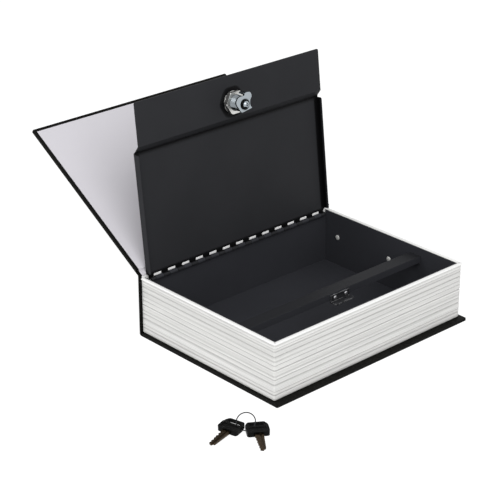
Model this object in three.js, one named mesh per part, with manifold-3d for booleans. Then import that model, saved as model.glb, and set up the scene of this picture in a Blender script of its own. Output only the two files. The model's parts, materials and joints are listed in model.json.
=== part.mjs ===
// Book diversion safe: a steel cash tray with a locking lid, hidden in a hollow hardback book.
// Millimetres, +Z up. The origin is the middle of the back board's underside, +X points to the
// fore edge and +Y to the head of the book. It stands open, as it does on a table when in use.

import * as THREE from 'three';
import { mergeVertices } from 'three/addons/utils/BufferGeometryUtils.js';
import Module from 'manifold-3d';

const wasm = await Module();
wasm.setup();

// Fits that all pieces share
const gap = 0.3;                  // between pieces that are glued, clamped or run in one another
const overrun = 4;                // how far a cutter runs past the face that it cuts
const degree = Math.PI / 180;
const quarterTurn = 90;           // in degrees
const cornerSteps = 3;            // facets on a small rounded corner
const rodSides = 16;              // facets round a pin or a knuckle
const turnedSides = 28;           // facets round the lock and its washers
const domeSteps = 4;              // facets up a domed head

// Cover
const boardLength = 265;
const boardWidth = 200;
const boardThickness = 3;
const boardCorner = 1.2;
const bookThickness = 66.3;
const spineThickness = 1.6;
const skinThickness = 0.8;
const backFoldRadius = 3;
const foldWidth = 4.6;            // flexible strip between the spine board and the front board
const foldInset = 0.8;            // from the spine's outer face to the line that the strip bends on
const foldOpen = 147.9;           // how far the cover stands open, in degrees
const coverSetback = 1.5;         // the front board ends this much short of the back board
const liningThickness = 0.3;
const liningMargin = 3.5;         // black skin left round the white lining

// Page block
const blockLength = 259;
const foreOverhang = 7.1;         // the boards stand out this far past the pages
const blockWall = 3.2;
const rimLip = 1;                 // the block's rim stands out this far past the pages
const rimLipHeight = 1.5;
const blockCorner = 1.6;
const ridgeDepth = 0.65;
const ridgeHalfWidth = 1.1;
const grooveHeightShares = [0.1, 0.21, 0.31, 0.38, 0.46, 0.58, 0.675, 0.76, 0.86, 0.935];
const grooveDepthShares = [1, 0.8, 0.9, 0.7, 0.9, 0.8, 1, 0.8, 0.9, 0.7];

// Tray
const traySheet = 0.8;
const rivetHeadRadius = 2.9;
const rivetHeadHeight = 1.3;
const rivetShankRadius = 1.2;
const rivetHeight = 36.3;         // above the table
const rivetInsets = [22.7, 97.7]; // of the two rivets on each end wall, from the spine

// Lid and its hinge
const lidSheet = 1;
const lidOpen = 96.5;             // how far the lid stands open, in degrees
const pinRadius = 0.95;
const knuckleRadius = 2.25;
const lidSink = 1;                // the shut lid lies this far below the page block's rim
const panelReach = 130.1;         // from the pin to the step, along the lid
const stepRun = 7.3;              // of the step, along the lid
const stripWidth = 44.4;          // of the lock strip, from the foot of the step to the free edge
const stripSink = 6.4;            // how far the lock strip is sunk below the panel
const lidEndClear = 1.2;          // between the lid's flanges and the tray's end walls
const flangeInset = 6.5;          // from the pin to the start of the flanges
const reliefLength = 2.6;         // notch at each end of the hinge
const stripStep = 1;              // the strip is this much narrower at each end
const stripTaper = 2;             // along the lid, where its ends step in
const lidCorner = 2;
const slotCount = 13;
const slotPitch = 18.34;
const slotLength = 10.5;
const slotReach = 4.5;            // from the pin to the slot's far side
const slotCorner = 1.2;
const knuckleClear = 0.4;         // at each side of a knuckle

// Ledge bar that bridges the tray
const ledgeDrop = 8.5;            // below the rim
const ledgeWidth = 15;
const ledgeInset = 126.6;         // from the spine's outer face
const ledgeSheet = 1;
const ledgeBackLip = 3;
const ledgeForeLip = 7.2;
const ledgeTab = 9;

// Lock
const lockInset = 16.5;           // from the foot of the step to the lock's axis
const barrelRadius = 8;
const bezelRadius = 11;
const bezelHeight = 2.4;
const bezelEdge = 0.7;
const plugRadius = 5.7;
const plugRecess = 0.4;
const keywayWidth = 1.7;
const keywayLength = 7.6;
const keywayDepth = 10;
const shankWidth = 7.4;           // of the plug's shank, between its flats
const shankRadius = 4.4;          // at its rounded corners
const washerRadius = 11.4;
const washerThickness = 1;
const nutFlats = 22;
const nutThickness = 4.4;
const nutChamfer = 0.6;
const camDrop = 19.1;             // from the strip's inner face to the cam's far face
const camThickness = 2;
const camLeft = 12.4;             // from the axis to the rounded side
const camRight = 9.4;             // from the axis to the hollowed side
const camHeel = 7.6;              // from the axis to the side opposite the hook
const camToe = 9;                 // from the axis to the side that carries the hook
const camTopShare = 0.62;         // of camLeft, where the toe's straight edge ends
const camHeelShare = 0.42;        // of camLeft, where the heel's straight edge starts
const camSlantShare = 0.72;       // of camHeel, at the hollowed side
const camHollowRadius = 8;
const camHollowDepth = 2.6;
const hookReach = 11.6;
const hookThickness = 2;
const hookWidth = 9.2;
const hookRise = 7;               // of the bent hook above the cam plate
const hookCorner = 4.6;
const camWasherRadius = 5.3;
const camWasherThickness = 0.8;
const screwHeadRadius = 3.8;
const screwHeadHeight = 2.6;
const screwShankRadius = 2;
const screwLength = 7;

// Keeper for the cam's hook
const keeperWidth = 26;
const keeperCentre = 6.5;         // from the middle of the bar, along it
const keeperSheet = 1.2;
const keeperShelf = 7.5;          // how far the shelf stands out past the leg
const keeperClear = 0.6;          // between the shelf and the hook below it
const keeperCorner = 2.5;
const keeperRivetRadius = 2.3;
const keeperRivetSpacing = 15;

// Keys and their ring
const ringRadius = 8.7;           // to the middle of the wire
const ringWire = 0.6;
const ringSides = 32;             // facets round the ring
const wireSides = 8;              // facets round its wire
const eyeLength = 13.4;           // of the slot in each key's head
const eyeWidth = 5.2;
const eyeEdge = 4.6;              // from the middle of the slot to the head's far edge
const eyeOffset = 2.4;            // from the middle of the slot to where the ring passes
const headThin = 3.2;
const headThick = 5.2;
const headLength = 17.8;
const headFarWidth = 15.6;
const headWidth = 21;
const headTaper = 4.2;            // from the far edge to where the head has its full width
const headCorner = 2.6;
const headThinLength = 7.4;
const headPanelDepth = 0.7;
const headPanelMargin = 2.4;
const bladeLength = 25;
const bladeWidth = 8.4;
const bladeTipWidth = 5.4;
const bladeThickness = 2;
const bladeGroove = 1.6;
const bladeGrooveInset = 0.4;     // from the middle of the blade
const bladeGrooveDepth = 0.5;
const bladePocket = 6;            // length of blade held inside the head
const bittingShares = [0.14, 0.3, 0.46, 0.62, 0.78];
const bittingDepthShares = [0.75, 1, 0.55, 0.9, 0.65];
const bittingDepth = 1.5;
const keyTilt = 4;                // the head rides up on the ring by this many degrees
const keyRest = 0.05;             // the keys and ring lie this far above the table
const keys = [
  { name: 'key_1', eye: [101.5, -184.2], heading: -76, side: 1 },
  { name: 'key_2', eye: [113.8, -174.7], heading: -33.2, side: -1 },
];

// Places worked out from the sizes above
const halfBoard = boardLength / 2;
const halfBlock = blockLength / 2;
const spineX = -boardWidth / 2;
const foreX = boardWidth / 2;
const rimZ = bookThickness - boardThickness - gap;
const blockBottom = boardThickness + gap;
const blockForeX = foreX - foreOverhang;
const liningX = spineX + spineThickness + gap;
const blockSpineX = liningX + liningThickness + gap;
const foldX = spineX + foldInset;
const foldZ = bookThickness - skinThickness / 2;
const spineTop = foldZ - skinThickness / 2 - gap;
const pinZ = rimZ - lidSink - knuckleRadius;
const leanBack = (lidOpen - quarterTurn) * degree;
const pinX = blockSpineX + knuckleRadius / Math.cos(leanBack) + (spineTop - pinZ) * Math.tan(leanBack);
const traySpineX = pinX - knuckleRadius;
const trayForeX = blockForeX - blockWall - gap;
const trayEndY = halfBlock - blockWall - gap;
const trayTop = rimZ - gap;
const trayFloor = blockBottom + traySheet;
const knuckleBore = knuckleRadius - lidSheet;
const wallNotch = pinZ - knuckleRadius - gap;
const lidHalf = trayEndY - traySheet - lidEndClear;
const hingeHalf = lidHalf - reliefLength;
const stepReach = panelReach + stepRun;
const lidReach = stepReach + stripWidth;
const lockReach = stepReach + lockInset;
const panelInner = knuckleRadius - lidSheet;
const stripInner = panelInner - stripSink;
const ledgeX = spineX + ledgeInset;
const ledgeTop = rimZ - ledgeDrop;
const flangeDepth = ledgeDrop - lidSink - lidSheet - gap;
const camLower = -camDrop;
const camUpper = camLower + camThickness;
const hookTop = pinZ + stripInner + camUpper + hookRise;

const v2 = (x, y) => new THREE.Vector2(x, y);

// A closed geometry as a solid: shared corners merged, empty faces left out, faces turned outward
function solid(geometry) {
  const bare = new THREE.BufferGeometry();
  bare.setAttribute('position', geometry.getAttribute('position'));
  if (geometry.index) bare.setIndex(geometry.index);
  const welded = mergeVertices(bare);
  const position = welded.getAttribute('position');
  const index = welded.index.array;
  const [a, b, c] = [new THREE.Vector3(), new THREE.Vector3(), new THREE.Vector3()];
  const faces = [];
  let volume = 0;
  for (let i = 0; i < index.length; i += 3) {
    const [p, q, r] = [index[i], index[i + 1], index[i + 2]];
    if (p === q || q === r || r === p) continue;
    faces.push(p, q, r);
    a.fromBufferAttribute(position, p);
    b.fromBufferAttribute(position, q);
    c.fromBufferAttribute(position, r);
    volume += a.dot(b.cross(c));
  }
  if (volume < 0) faces.reverse();
  const mesh = new wasm.Mesh({
    numProp: 3,
    vertProperties: new Float32Array(position.array),
    triVerts: new Uint32Array(faces),
  });
  return new wasm.Manifold(mesh);
}

// The finished solid as a named mesh in its own finish
function piece(name, shape, finish) {
  const mesh = shape.getMesh();
  const geometry = new THREE.BufferGeometry();
  geometry.setAttribute('position', new THREE.BufferAttribute(new Float32Array(mesh.vertProperties), 3));
  geometry.setIndex(new THREE.BufferAttribute(new Uint32Array(mesh.triVerts), 1));
  geometry.computeVertexNormals();
  const node = new THREE.Mesh(geometry, new THREE.MeshStandardMaterial(finish));
  node.name = name;
  return node;
}

function box(x0, x1, y0, y1, z0, z1) {
  const geometry = new THREE.BoxGeometry(x1 - x0, y1 - y0, z1 - z0);
  return solid(geometry.translate((x0 + x1) / 2, (y0 + y1) / 2, (z0 + z1) / 2));
}

// A closed outline through corners [x, y, radius]
function outline(corners) {
  const shape = new THREE.Shape();
  corners.forEach(([x, y, radius = 0], i) => {
    const here = v2(x, y);
    const before = v2(...corners.at(i - 1)).sub(here).setLength(radius).add(here);
    const after = v2(...corners[(i + 1) % corners.length]).sub(here).setLength(radius).add(here);
    if (i === 0) shape.moveTo(before.x, before.y);
    else shape.lineTo(before.x, before.y);
    if (radius > 0) shape.quadraticCurveTo(x, y, after.x, after.y);
  });
  shape.closePath();
  return shape;
}

function rectangle(x0, x1, y0, y1, radius) {
  return outline([[x0, y0, radius], [x1, y0, radius], [x1, y1, radius], [x0, y1, radius]]);
}

// A flat plate from an outline seen from above
function plate(shape, z0, z1) {
  const settings = { depth: z1 - z0, bevelEnabled: false, curveSegments: cornerSteps };
  return solid(new THREE.ExtrudeGeometry(shape, settings).translate(0, 0, z0));
}

// A folded or moulded section, drawn as (x, z), that runs along Y
function section(shape, y0, y1) {
  const settings = { depth: y1 - y0, bevelEnabled: false, curveSegments: cornerSteps };
  return solid(new THREE.ExtrudeGeometry(shape, settings).rotateX(Math.PI / 2).translate(0, y1, 0));
}

// A round bar along Y
function rod(x, z, radius, y0, y1) {
  const geometry = new THREE.CylinderGeometry(radius, radius, y1 - y0, rodSides);
  return solid(geometry.translate(x, (y0 + y1) / 2, z));
}

// A turned piece about the Z axis, from a profile of [radius, z]
function turned(profile, sides = turnedSides) {
  const points = profile.map(([radius, z]) => v2(radius, z));
  return solid(new THREE.LatheGeometry(points, sides).rotateX(Math.PI / 2));
}

// A plain turned disc or barrel
function disc(radius, z0, z1, sides = turnedSides) {
  return turned([[0, z0], [radius, z0], [radius, z1], [0, z1]], sides);
}

// A domed rivet or screw head on its shank: the head's flat side is at z = 0
function headed(headRadius, headHeight, shankRadius, shankLength, sides) {
  const dome = Array.from({ length: domeSteps }, (unused, step) => {
    const turn = (step / domeSteps) * quarterTurn * degree;
    return [headRadius * Math.cos(turn), headHeight * Math.sin(turn)];
  });
  return turned([
    [0, -shankLength], [shankRadius, -shankLength], [shankRadius, 0], ...dome, [0, headHeight],
  ], sides);
}

const skinFinish = { color: 0x1a1a1b, roughness: 0.6, metalness: 0 };
const paperFinish = { color: 0xdcdadf, roughness: 0.75, metalness: 0 };
const pageFinish = { color: 0xe4e4df, roughness: 0.5, metalness: 0 };
const paintFinish = { color: 0x2c2d31, roughness: 0.5, metalness: 0.1 };
const chromeFinish = { color: 0xd2d6d8, roughness: 0.2, metalness: 1 };
const zincFinish = { color: 0xa9abae, roughness: 0.35, metalness: 1 };
const headFinish = { color: 0x161617, roughness: 0.4, metalness: 0 };
const bladeFinish = { color: 0x7d6c4e, roughness: 0.35, metalness: 1 };

// Cover

function backBoard() {
  const corners = [
    [spineX + backFoldRadius + gap, -halfBoard], [foreX, -halfBoard, boardCorner],
    [foreX, halfBoard, boardCorner], [spineX + backFoldRadius + gap, halfBoard],
  ];
  return plate(outline(corners), 0, boardThickness);
}

// The skin turns the corner under the spine as a quarter of a tube
function backFold() {
  const inner = backFoldRadius - skinThickness;
  const shape = new THREE.Shape();
  shape.absarc(spineX + backFoldRadius, backFoldRadius, backFoldRadius, -Math.PI / 2, -Math.PI, true);
  shape.absarc(spineX + backFoldRadius, backFoldRadius, inner, -Math.PI, -Math.PI / 2, false);
  return section(shape, -halfBoard, halfBoard);
}

function spineBoard() {
  const bottom = backFoldRadius + gap;
  return box(spineX, spineX + spineThickness, -halfBoard, halfBoard, bottom, spineTop);
}

function spineLining() {
  const half = halfBoard - liningMargin;
  return box(liningX, liningX + liningThickness, -half, half, blockBottom, spineTop);
}

// The strip and the front board are drawn closed, from the line that the strip bends on
const foldHalfSkin = skinThickness / 2;
const foldEnd = gap + foldWidth;
const boardHingeX = foldEnd + gap;
const frontStart = gap;
const frontEnd = foreX - coverSetback - foldX - boardHingeX;
const frontTop = foldHalfSkin;
const frontBottom = foldHalfSkin - boardThickness;
const liningHalf = halfBoard - liningMargin;

function coverFold() {
  return box(gap, foldEnd, -halfBoard, halfBoard, -foldHalfSkin, foldHalfSkin);
}

function foldLining() {
  const start = blockSpineX - foldX;
  const top = -foldHalfSkin - gap;
  return box(start, foldEnd, -liningHalf, liningHalf, top - liningThickness, top);
}

// The lining lies in a shallow sinking, flush with the board
function frontBoard() {
  const corners = [
    [frontStart, -halfBoard], [frontEnd, -halfBoard, boardCorner],
    [frontEnd, halfBoard, boardCorner], [frontStart, halfBoard],
  ];
  const board = plate(outline(corners), frontBottom, frontTop);
  const edge = liningHalf + gap;
  const sinkTop = frontBottom + liningThickness + gap;
  const sinkEnd = frontEnd - liningMargin + gap;
  return board.subtract(box(-overrun, sinkEnd, -edge, edge, frontBottom - overrun, sinkTop));
}

function frontLining() {
  const end = frontEnd - liningMargin;
  return box(frontStart, end, -liningHalf, liningHalf, frontBottom, frontBottom + liningThickness);
}

// Page block: a wall on three sides, lofted through grooves like the edges of bundled pages

function blockOutline(inset) {
  const points = [v2(blockSpineX, -halfBlock + inset)];
  const radius = blockCorner - Math.min(inset, blockCorner / 2);
  const centreX = blockForeX - inset - radius;
  const centreY = halfBlock - inset - radius;
  for (const side of [-1, 1]) {
    for (let i = 0; i <= cornerSteps; i += 1) {
      const turn = (i / cornerSteps) * (Math.PI / 2) + (side - 1) * (Math.PI / 4);
      points.push(v2(centreX + radius * Math.cos(turn), side * centreY + radius * Math.sin(turn)));
    }
  }
  const inner = halfBlock - blockWall;
  const innerX = blockForeX - blockWall;
  points.push(v2(blockSpineX, halfBlock - inset), v2(blockSpineX, inner));
  points.push(v2(innerX, inner), v2(innerX, -inner), v2(blockSpineX, -inner));
  return points;
}

function pageBlock() {
  const height = rimZ - blockBottom;
  const levels = [[blockBottom, 0]];
  grooveHeightShares.forEach((share, i) => {
    const z = blockBottom + share * height;
    const inset = ridgeDepth * grooveDepthShares[i];
    levels.push([z - ridgeHalfWidth, 0], [z, inset], [z + ridgeHalfWidth, 0]);
  });
  const lipBottom = rimZ - rimLipHeight;
  levels.push([lipBottom - rimLip / 2, 0], [lipBottom, -rimLip], [rimZ, -rimLip]);
  const rings = levels.map(([, inset]) => blockOutline(inset));
  const count = rings[0].length;
  const corners = rings.flatMap((ring, k) => ring.flatMap((p) => [p.x, p.y, levels[k][0]]));
  const faces = [];
  for (let k = 0; k < rings.length - 1; k += 1) {
    for (let i = 0; i < count; i += 1) {
      const j = (i + 1) % count;
      const [low, high] = [k * count, (k + 1) * count];
      faces.push(low + i, low + j, high + j, low + i, high + j, high + i);
    }
  }
  const top = (rings.length - 1) * count;
  for (const [a, b, c] of THREE.ShapeUtils.triangulateShape(rings[0], [])) {
    faces.push(c, b, a, top + a, top + b, top + c);
  }
  const geometry = new THREE.BufferGeometry();
  geometry.setAttribute('position', new THREE.Float32BufferAttribute(corners, 3));
  geometry.setIndex(faces);
  return solid(geometry);
}

// Tray with the hinge knuckles that stand up through the lid's slots

const slotCentres = Array.from({ length: slotCount }, (_, i) => (i - (slotCount - 1) / 2) * slotPitch);

function tray() {
  const innerEnd = trayEndY - traySheet;
  const innerSpine = traySpineX + traySheet;
  let shell = box(traySpineX, trayForeX, -trayEndY, trayEndY, blockBottom, trayTop);
  shell = shell.subtract(
    box(innerSpine, trayForeX - traySheet, -innerEnd, innerEnd, trayFloor, trayTop + overrun),
  );
  shell = shell.subtract(
    box(traySpineX - overrun, innerSpine, -innerEnd, innerEnd, wallNotch, trayTop + overrun),
  );
  for (const y of slotCentres) {
    const half = slotLength / 2 - knuckleClear;
    const neck = box(traySpineX, innerSpine, y - half, y + half, wallNotch - lidSheet, pinZ);
    const curl = neck.add(rod(pinX, pinZ, knuckleRadius, y - half, y + half));
    shell = shell.add(curl.subtract(rod(pinX, pinZ, knuckleBore, y - overrun - half, y + overrun + half)));
  }
  for (const inset of rivetInsets) {
    shell = shell.subtract(rod(spineX + inset, rivetHeight, rivetShankRadius + gap, -halfBlock, halfBlock));
  }
  return shell;
}

// Ledge bar: a flat top with a lip down each long side and a tab down each end wall
function ledgeBar() {
  const end = trayEndY - traySheet - gap;
  const [x0, x1] = [ledgeX, ledgeX + ledgeWidth];
  const [inner, outer] = [x0 + ledgeSheet, x1 - ledgeSheet];
  const under = ledgeTop - ledgeSheet;
  const shape = outline([
    [x0, ledgeTop, ledgeSheet / 2], [x0, ledgeTop - ledgeBackLip], [inner, ledgeTop - ledgeBackLip],
    [inner, under], [outer, under], [outer, ledgeTop - ledgeForeLip],
    [x1, ledgeTop - ledgeForeLip], [x1, ledgeTop, ledgeSheet / 2],
  ]);
  let bar = section(shape, -end, end);
  for (const side of [-1, 1]) {
    const [near, far] = [end - ledgeSheet, end].map((y) => side * y).sort((a, b) => a - b);
    bar = bar.add(box(x0, x1, near, far, ledgeTop - ledgeTab, ledgeTop - ledgeSheet / 2));
  }
  for (const y of keeperRivetCentres) bar = bar.subtract(keeperHole(y));
  return bar;
}

// Keeper: a leg on the bar's fore lip, and a shelf that the hook goes under
const shelfBottom = hookTop + keeperClear;
const keeperX = ledgeX + ledgeWidth + gap;
const keeperTop = ledgeTop - keeperSheet;
const keeperRivetZ = (keeperTop + shelfBottom + keeperSheet) / 2;
const keeperRivetCentres = [-1, 1].map((side) => keeperCentre + side * keeperRivetSpacing / 2);

function alongX(shape, y, z) {
  return shape.rotate([0, quarterTurn, 0]).translate([keeperX + keeperSheet + gap, y, z]);
}

function keeperHole(y) {
  return alongX(disc(rivetShankRadius + gap, -overrun, overrun, rodSides), y, keeperRivetZ);
}

function camKeeper() {
  const [y0, y1] = [keeperCentre - keeperWidth / 2, keeperCentre + keeperWidth / 2];
  const shelfEnd = keeperX + keeperSheet + keeperShelf;
  const shelf = outline([
    [keeperX, y0], [shelfEnd, y0, keeperCorner], [shelfEnd, y1, keeperCorner], [keeperX, y1],
  ]);
  let bracket = plate(shelf, shelfBottom, shelfBottom + keeperSheet);
  bracket = bracket.add(box(keeperX, keeperX + keeperSheet, y0, y1, shelfBottom, keeperTop));
  for (const y of keeperRivetCentres) bracket = bracket.subtract(keeperHole(y));
  return bracket;
}

function keeperRivet(y) {
  const shank = gap + keeperSheet + gap + ledgeSheet;
  const rivet = headed(keeperRivetRadius, rivetHeadHeight, rivetShankRadius, shank, rodSides);
  return alongX(rivet, y, keeperRivetZ);
}

// Lid, drawn closed and from the pin: panel, step, sunk strip, flanges and knuckles

function lid() {
  const slope = Math.atan2(stripSink, stepRun);
  const shift = lidSheet * Math.tan(slope / 2);
  const stripHalf = lidHalf - stripStep;
  const profile = outline([
    [0, panelInner], [panelReach, panelInner], [stepReach, stripInner], [lidReach, stripInner],
    [lidReach, stripInner + lidSheet], [stepReach + shift, stripInner + lidSheet],
    [panelReach + shift, knuckleRadius], [0, knuckleRadius],
  ]);
  const plan = outline([
    [-knuckleRadius - gap, -hingeHalf], [flangeInset - reliefLength, -hingeHalf], [flangeInset, -lidHalf],
    [panelReach, -lidHalf], [panelReach + stripTaper, -stripHalf], [lidReach, -stripHalf, lidCorner],
    [lidReach, stripHalf, lidCorner], [panelReach + stripTaper, stripHalf], [panelReach, lidHalf],
    [flangeInset, lidHalf], [flangeInset - reliefLength, hingeHalf], [-knuckleRadius - gap, hingeHalf],
  ]);
  let sheet = section(profile, -lidHalf, lidHalf).add(rod(0, 0, knuckleRadius, -hingeHalf, hingeHalf));
  sheet = sheet.intersect(plate(plan, stripInner - overrun, knuckleRadius + overrun));
  const low = panelInner - flangeDepth;   // just above the ledge bar when the lid is shut
  const flangeEnd = panelReach - lidSheet;
  const flange = outline([
    [flangeInset, panelInner + lidSheet / 2], [flangeInset, low, lidCorner],
    [flangeEnd, low, lidCorner], [flangeEnd, panelInner + lidSheet / 2],
  ]);
  sheet = sheet.add(section(flange, -lidHalf, -lidHalf + lidSheet));
  sheet = sheet.add(section(flange, lidHalf - lidSheet, lidHalf));
  sheet = sheet.subtract(rod(0, 0, knuckleBore, -lidHalf, lidHalf));
  for (const y of slotCentres) {
    const half = slotLength / 2;
    const slot = outline([
      [-overrun, y - half], [slotReach, y - half, slotCorner],
      [slotReach, y + half, slotCorner], [-overrun, y + half],
    ]);
    sheet = sheet.subtract(plate(slot, -overrun, overrun));
  }
  const hole = disc(barrelRadius + gap, -overrun, overrun).translate([lockReach, 0, stripInner]);
  return sheet.subtract(hole);
}

// Lock, drawn about its axis with z = 0 on the strip's inner face and +Z to the outside

const bezelSeat = lidSheet + gap;
const bezelTop = bezelSeat + bezelHeight;
const barrelEnd = camUpper + gap;

function lockBody() {
  const bore = plugRadius + gap;
  return turned([
    [bore, barrelEnd], [barrelRadius, barrelEnd], [barrelRadius, bezelSeat], [bezelRadius, bezelSeat],
    [bezelRadius, bezelTop - bezelEdge], [bezelRadius - bezelEdge, bezelTop], [bore, bezelTop],
    [bore, barrelEnd],
  ]);
}

// The shank is round with four flats, and the cam's hole is the same with clearance
function flatted(width, radius, z0, z1) {
  return box(-width / 2, width / 2, -width / 2, width / 2, z0, z1).intersect(disc(radius, z0, z1));
}

function lockPlug() {
  const face = bezelTop - plugRecess;
  const core = disc(plugRadius, barrelEnd, face);
  const shank = flatted(shankWidth, shankRadius, camLower, barrelEnd + gap);
  const keyway = box(-keywayLength / 2, keywayLength / 2, -keywayWidth / 2, keywayWidth / 2,
    face - keywayDepth, face + overrun);
  const tapped = disc(screwShankRadius + gap, camLower - overrun, camLower + screwLength + gap, rodSides);
  return core.add(shank).subtract(keyway).subtract(tapped);
}

function lockWasher() {
  const top = -gap;
  const bore = barrelRadius + gap;
  const ring = disc(washerRadius, top - washerThickness, top);
  return ring.subtract(disc(bore, top - washerThickness - overrun, top + overrun));
}

function lockNut() {
  const top = -gap - washerThickness - gap;
  const bottom = top - nutThickness;
  const corner = nutFlats / 2 / Math.cos(Math.PI / 6);
  const hexagon = new THREE.CylinderGeometry(corner, corner, nutThickness, 6).rotateX(Math.PI / 2);
  const blank = solid(hexagon.translate(0, 0, (top + bottom) / 2));
  const chamfered = turned([
    [0, bottom], [corner - nutChamfer, bottom], [corner, bottom + nutChamfer],
    [corner, top - nutChamfer], [corner - nutChamfer, top], [0, top],
  ]);
  return blank.intersect(chamfered).subtract(disc(barrelRadius + gap, bottom - overrun, top + overrun));
}

// Cam: rounded on one side, hollowed on the other, with a hook bent back towards the lid
function lockCam() {
  const shape = outline([
    [camToe, -camLeft * camTopShare, camHeel / 3], [camHeel / 2, -camLeft, camHeel / 2],
    [-camHeel, -camLeft * camHeelShare, camHeel / 4], [-camHeel * camSlantShare, camRight, camHeel / 6],
    [camToe, camRight, camHeel / 8],
  ]);
  const hookEdge = camRight - hookWidth;
  const cam = plate(shape, camLower, camUpper);
  const toe = box(camToe - hookThickness, hookReach, hookEdge, camRight, camLower, camUpper);
  const hook = section(outline([
    [hookReach - hookThickness, camLower], [hookReach, camLower, hookThickness / 2],
    [hookReach, camUpper + hookRise, hookThickness / 4],
    [hookReach - hookThickness, camUpper + hookRise, hookThickness / 4],
  ]), hookEdge, camRight);
  const bent = plate(outline([
    [0, hookEdge], [hookReach, hookEdge, hookCorner / 2],
    [hookReach, camRight, hookCorner], [0, camRight],
  ]), camLower - overrun, camUpper + hookRise + overrun).intersect(toe.add(hook));
  const [low, high] = [camLower - overrun, camUpper + overrun];
  const hole = flatted(shankWidth + 2 * gap, shankRadius + gap, low, high);
  const hollowY = camRight + camHollowRadius - camHollowDepth;
  const hollow = disc(camHollowRadius, low, high).translate([0, hollowY, 0]);
  return cam.subtract(hollow).add(bent).subtract(hole);
}

const camWasherTop = camLower - gap;
const screwSeat = camWasherTop - camWasherThickness - gap;

function camWasher() {
  const ring = disc(camWasherRadius, camWasherTop - camWasherThickness, camWasherTop);
  return ring.subtract(disc(screwShankRadius + gap, screwSeat, camLower, rodSides));
}

function camScrew() {
  const screw = headed(screwHeadRadius, screwHeadHeight, screwShankRadius, screwLength, rodSides);
  return screw.rotate([2 * quarterTurn, 0, 0]).translate([0, 0, screwSeat]);
}

// Keys, drawn flat from the point where the ring passes: x runs along the blade

function keyHead(side) {
  const centre = -side * eyeOffset;
  const far = -eyeEdge;
  const near = far + headLength;
  const shoulder = far + headThinLength;
  const farHalf = headFarWidth / 2;
  const headHalf = headWidth / 2;
  const full = outline([
    [far, centre - farHalf, headCorner / 2], [far + headTaper, centre - headHalf, headCorner / 2],
    [near, centre - headHalf, headCorner], [near, centre + headHalf, headCorner],
    [far + headTaper, centre + headHalf, headCorner / 2], [far, centre + farHalf, headCorner / 2],
  ]);
  const thick = outline([
    [shoulder, centre - headHalf], [near, centre - headHalf, headCorner],
    [near, centre + headHalf, headCorner], [shoulder, centre + headHalf],
  ]);
  const [eyeHalf, eyeReach] = [eyeWidth / 2, eyeLength / 2];
  const eye = rectangle(-eyeHalf, eyeHalf, centre - eyeReach, centre + eyeReach, eyeWidth / 4);
  const panel = rectangle(shoulder + headPanelMargin, near - headPanelMargin,
    centre - headHalf + headPanelMargin, centre + headHalf - headPanelMargin, headCorner / 2);
  const half = bladeWidth / 2 + gap;
  const deep = bladeThickness / 2 + gap;
  const pocket = box(near - bladePocket - gap, near + overrun, centre - half, centre + half, -deep, deep);
  return plate(full, -headThin / 2, headThin / 2)
    .add(plate(thick, -headThick / 2, headThick / 2))
    .subtract(plate(eye, -headThick, headThick))
    .subtract(plate(panel, headThick / 2 - headPanelDepth, headThick))
    .subtract(pocket);
}

function keyBlade(side) {
  const centre = -side * eyeOffset;
  const root = -eyeEdge + headLength;
  const tip = root + bladeLength;
  const half = bladeWidth / 2;
  const tipHalf = bladeTipWidth / 2;
  const bitting = bittingShares.flatMap((share, i) => {
    const x = root + bladeLength * (share + (bittingShares[1] - bittingShares[0]) / 2);
    const edge = half + (tipHalf - half) * share;
    const start = x - bladeLength * (bittingShares[1] - bittingShares[0]) / 2;
    return [[start, centre - edge], [x, centre - edge + bittingDepth * bittingDepthShares[i]]];
  });
  const shape = outline([
    [root - bladePocket, centre - half], ...bitting, [tip - tipHalf / 2, centre - tipHalf],
    [tip, centre, tipHalf / 3], [tip - tipHalf, centre + tipHalf], [root + bladePocket / 2, centre + half],
    [root - bladePocket, centre + half],
  ]);
  const deep = bladeThickness / 2;
  let blade = plate(shape, -deep, deep);
  for (const face of [-1, 1]) {
    const [low, high] = [face * (deep - bladeGrooveDepth), face * (deep + overrun)].sort((a, b) => a - b);
    const [near, far] = [centre + bladeGrooveInset, centre + bladeGrooveInset + bladeGroove];
    blade = blade.subtract(box(root + gap, tip + overrun, near, far, low, high));
  }
  return blade;
}

// The ring leans on the table and passes through both eyes, so its tilt follows from their places
const tipReach = headLength - eyeEdge + bladeLength;
const eyeZ = keyRest + bladeThickness / 2 + tipReach * Math.sin(keyTilt * degree);
const eyes = keys.map((key) => v2(...key.eye));
const eyeSpan = eyes[1].clone().sub(eyes[0]);
const ringSine = Math.sqrt(1 - (eyeSpan.length() / 2 / ringRadius) ** 2);
const ringLow = keyRest + ringWire;
const ringLean = Math.asin(Math.min(1, (eyeZ - ringLow) / (ringRadius * (1 - ringSine))));

function keyRing() {
  return solid(new THREE.TorusGeometry(ringRadius, ringWire, wireSides, ringSides));
}

// Assembly

const safe = new THREE.Group();

safe.add(
  piece('back_board', backBoard(), skinFinish),
  piece('back_fold', backFold(), skinFinish),
  piece('spine_board', spineBoard(), skinFinish),
  piece('spine_lining', spineLining(), paperFinish),
  piece('page_block', pageBlock(), pageFinish),
  piece('tray', tray(), paintFinish),
  piece('ledge_bar', ledgeBar(), paintFinish),
  piece('cam_keeper', camKeeper(), paintFinish),
);

keeperRivetCentres.forEach((y, i) => {
  safe.add(piece(`keeper_rivet_${i + 1}`, keeperRivet(y), zincFinish));
});

// Rivets with their heads inside the tray, two on each end wall
let rivetNumber = 1;
for (const side of [-1, 1]) {
  for (const inset of rivetInsets) {
    const rivet = headed(rivetHeadRadius, rivetHeadHeight, rivetShankRadius, traySheet + gap, rodSides);
    const node = piece(`tray_rivet_${rivetNumber}`, rivet, zincFinish);
    node.position.set(spineX + inset, side * (trayEndY - traySheet - gap), rivetHeight);
    node.rotation.x = side * Math.PI / 2;
    safe.add(node);
    rivetNumber += 1;
  }
}

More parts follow.
